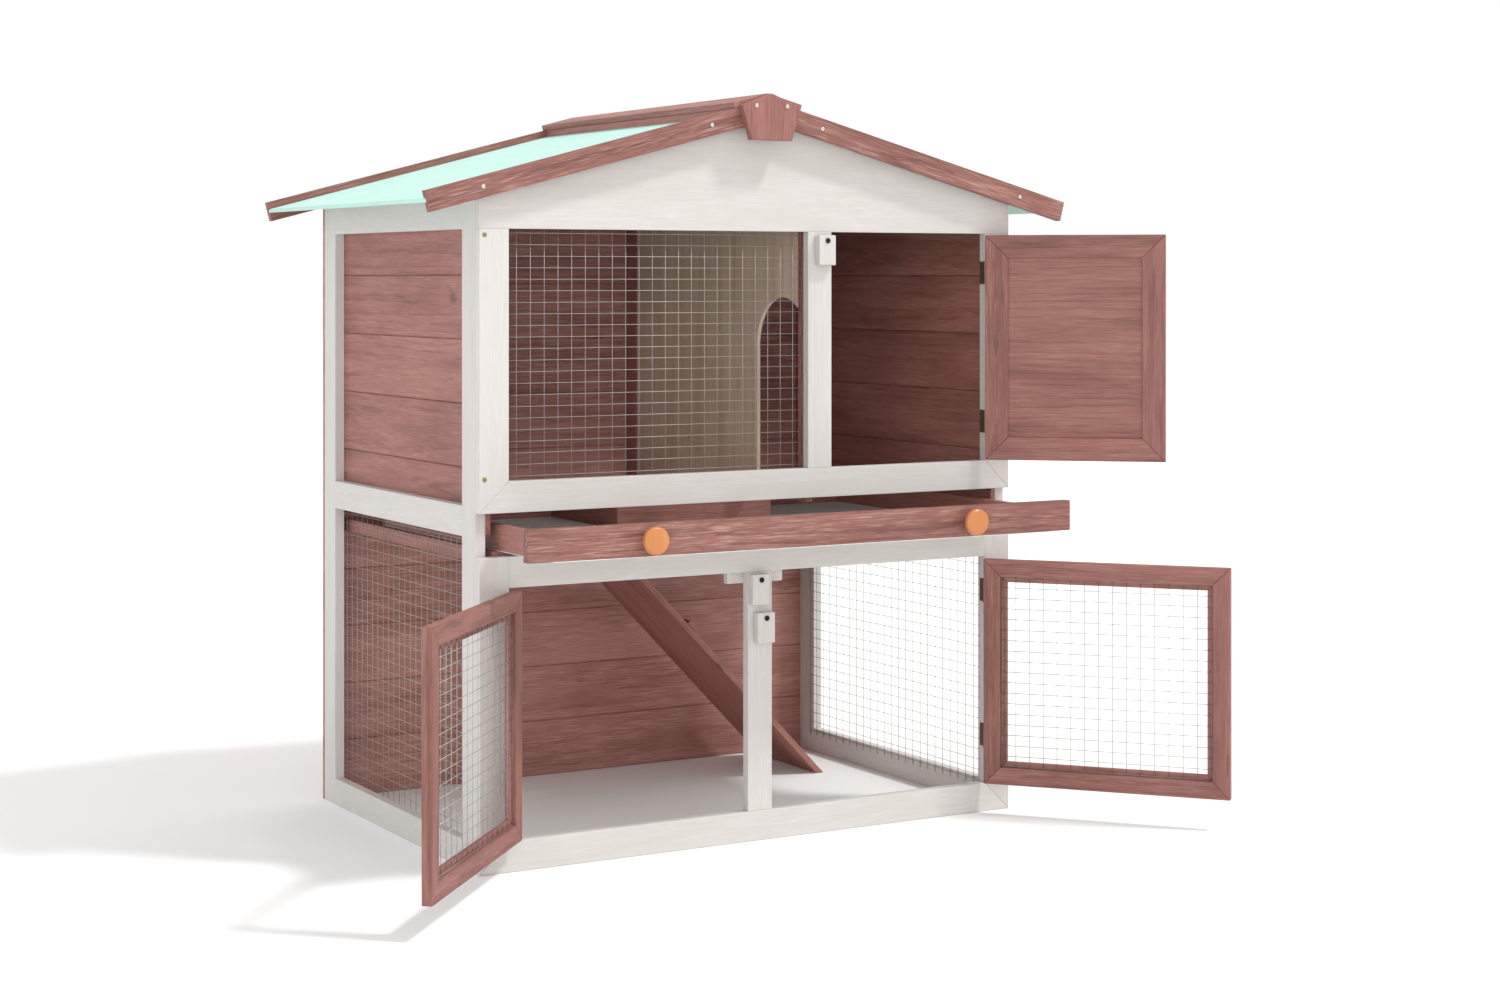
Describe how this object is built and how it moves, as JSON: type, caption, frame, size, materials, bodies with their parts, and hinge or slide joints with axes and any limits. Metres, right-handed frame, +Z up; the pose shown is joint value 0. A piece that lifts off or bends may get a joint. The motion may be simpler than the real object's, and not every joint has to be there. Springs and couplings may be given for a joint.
{
  "type": "rabbit hutch",
  "caption": "Two-storey timber hutch with a gabled felt roof, hinged doors, a mesh run with a ramp, and a pull-out tray floor with a notch for the ramp.",
  "frame": {"origin": "middle of the underside of the front bottom rail, on the ground", "axes": "+X to the right seen from the front, +Y to the back, +Z up; the front faces -Y"},
  "size_m": [1.3317, 0.967, 1.1236],
  "materials": {
    "white_paint": "opaque white paint over softwood, faint grain",
    "brown_stain": "semi-opaque reddish-brown stain over softwood",
    "roofing_felt": "pale mint mineral felt glued on thin board",
    "plain_panel": "bare thin plywood",
    "knob_varnish": "clear orange varnish on turned wood",
    "galvanised_sheet": "dull galvanised sheet",
    "wire": "bright galvanised wire",
    "screw_steel": "bright zinc plating",
    "screw_brass": "yellow zinc plating",
    "black_screw": "black phosphate",
    "hinge_steel": "dark bronzed steel"
  },
  "bodies": {
    "hutch": {"left_front_post": "white_paint", "left_back_post": "white_paint", "left_top_rail": "white_paint", "left_mid_rail": "white_paint", "left_bottom_rail": "white_paint", "left_side_boards": "brown_stain", "left_side_mesh": "wire", "right_front_post": "white_paint", "right_back_post": "white_paint", "right_top_rail": "white_paint", "right_mid_rail": "white_paint", "right_bottom_rail": "white_paint", "right_side_boards": "brown_stain", "right_side_mesh": "wire", "back_boards": "brown_stain", "upper_left_stile": "white_paint", "upper_right_stile": "white_paint", "upper_bottom_rail": "white_paint", "upper_middle_post": "white_paint", "gable_board": "white_paint", "window_mesh": "wire", "lower_left_stile": "white_paint", "lower_right_stile": "white_paint", "lower_top_rail": "white_paint", "lower_bottom_rail": "white_paint", "lower_middle_post": "white_paint", "door_stop_cleat": "white_paint", "divider_panel": "plain_panel", "divider_battens": "brown_stain", "tray_bearers": "brown_stain", "ramp_board": "brown_stain", "ramp_cleats": "brown_stain", "left_roof_panel": "roofing_felt", "right_roof_panel": "roofing_felt", "front_barge_boards": "brown_stain", "back_barge_boards": "brown_stain", "ridge_caps": "brown_stain", "apex_plates": "brown_stain", "roof_screws": "screw_steel", "frame_screws": "screw_brass", "turn_button_screws": "black_screw", "hinge_pins": "hinge_steel", "frame_hinge_leaves": "hinge_steel"},
    "upper_door": {"upper_door_frame": "brown_stain", "upper_door_panel": "brown_stain", "upper_door_hinge_leaves": "hinge_steel"},
    "lower_left_door": {"lower_left_door_frame": "brown_stain", "lower_left_door_mesh": "wire", "lower_left_door_hinge_leaves": "hinge_steel"},
    "lower_right_door": {"lower_right_door_frame": "brown_stain", "lower_right_door_mesh": "wire", "lower_right_door_hinge_leaves": "hinge_steel"},
    "upper_button": {"upper_turn_button": "white_paint"},
    "left_button": {"left_turn_button": "white_paint"},
    "right_button": {"right_turn_button": "white_paint"},
    "tray": {"tray_front": "brown_stain", "tray_sides": "brown_stain", "tray_notch_walls": "brown_stain", "tray_sheet": "galvanised_sheet", "tray_knobs": "knob_varnish"}
  },
  "joints": [
    {"name": "upper_door_hinge", "type": "hinge", "parent": "hutch", "child": "upper_door", "pos_m": [0.41275, -0.0105, 0.737], "axis": [0, 0, 1], "range_deg": [-138, 37]},
    {"name": "lower_left_door_hinge", "type": "hinge", "parent": "hutch", "child": "lower_left_door", "pos_m": [-0.41275, -0.0105, 0.236], "axis": [0, 0, 1], "range_deg": [-43, 132]},
    {"name": "lower_right_door_hinge", "type": "hinge", "parent": "hutch", "child": "lower_right_door", "pos_m": [0.41275, -0.0105, 0.236], "axis": [0, 0, 1], "range_deg": [-130, 45]},
    {"name": "tray_slide", "type": "slide", "parent": "hutch", "child": "tray", "axis": [0, -1, 0], "range_m": [-0.161, 0.24]},
    {"name": "upper_button_turn", "type": "hinge", "parent": "hutch", "child": "upper_button", "pos_m": [0.112, -0.0143, 0.9035], "axis": [0, 1, 0], "range_deg": [-90, 90]},
    {"name": "left_button_turn", "type": "hinge", "parent": "hutch", "child": "left_button", "pos_m": [-0.005, -0.0143, 0.3935], "axis": [0, 1, 0], "range_deg": [-90, 90]},
    {"name": "right_button_turn", "type": "hinge", "parent": "hutch", "child": "right_button", "pos_m": [0.004, -0.0143, 0.3355], "axis": [0, 1, 0], "range_deg": [-90, 90]}
  ]
}
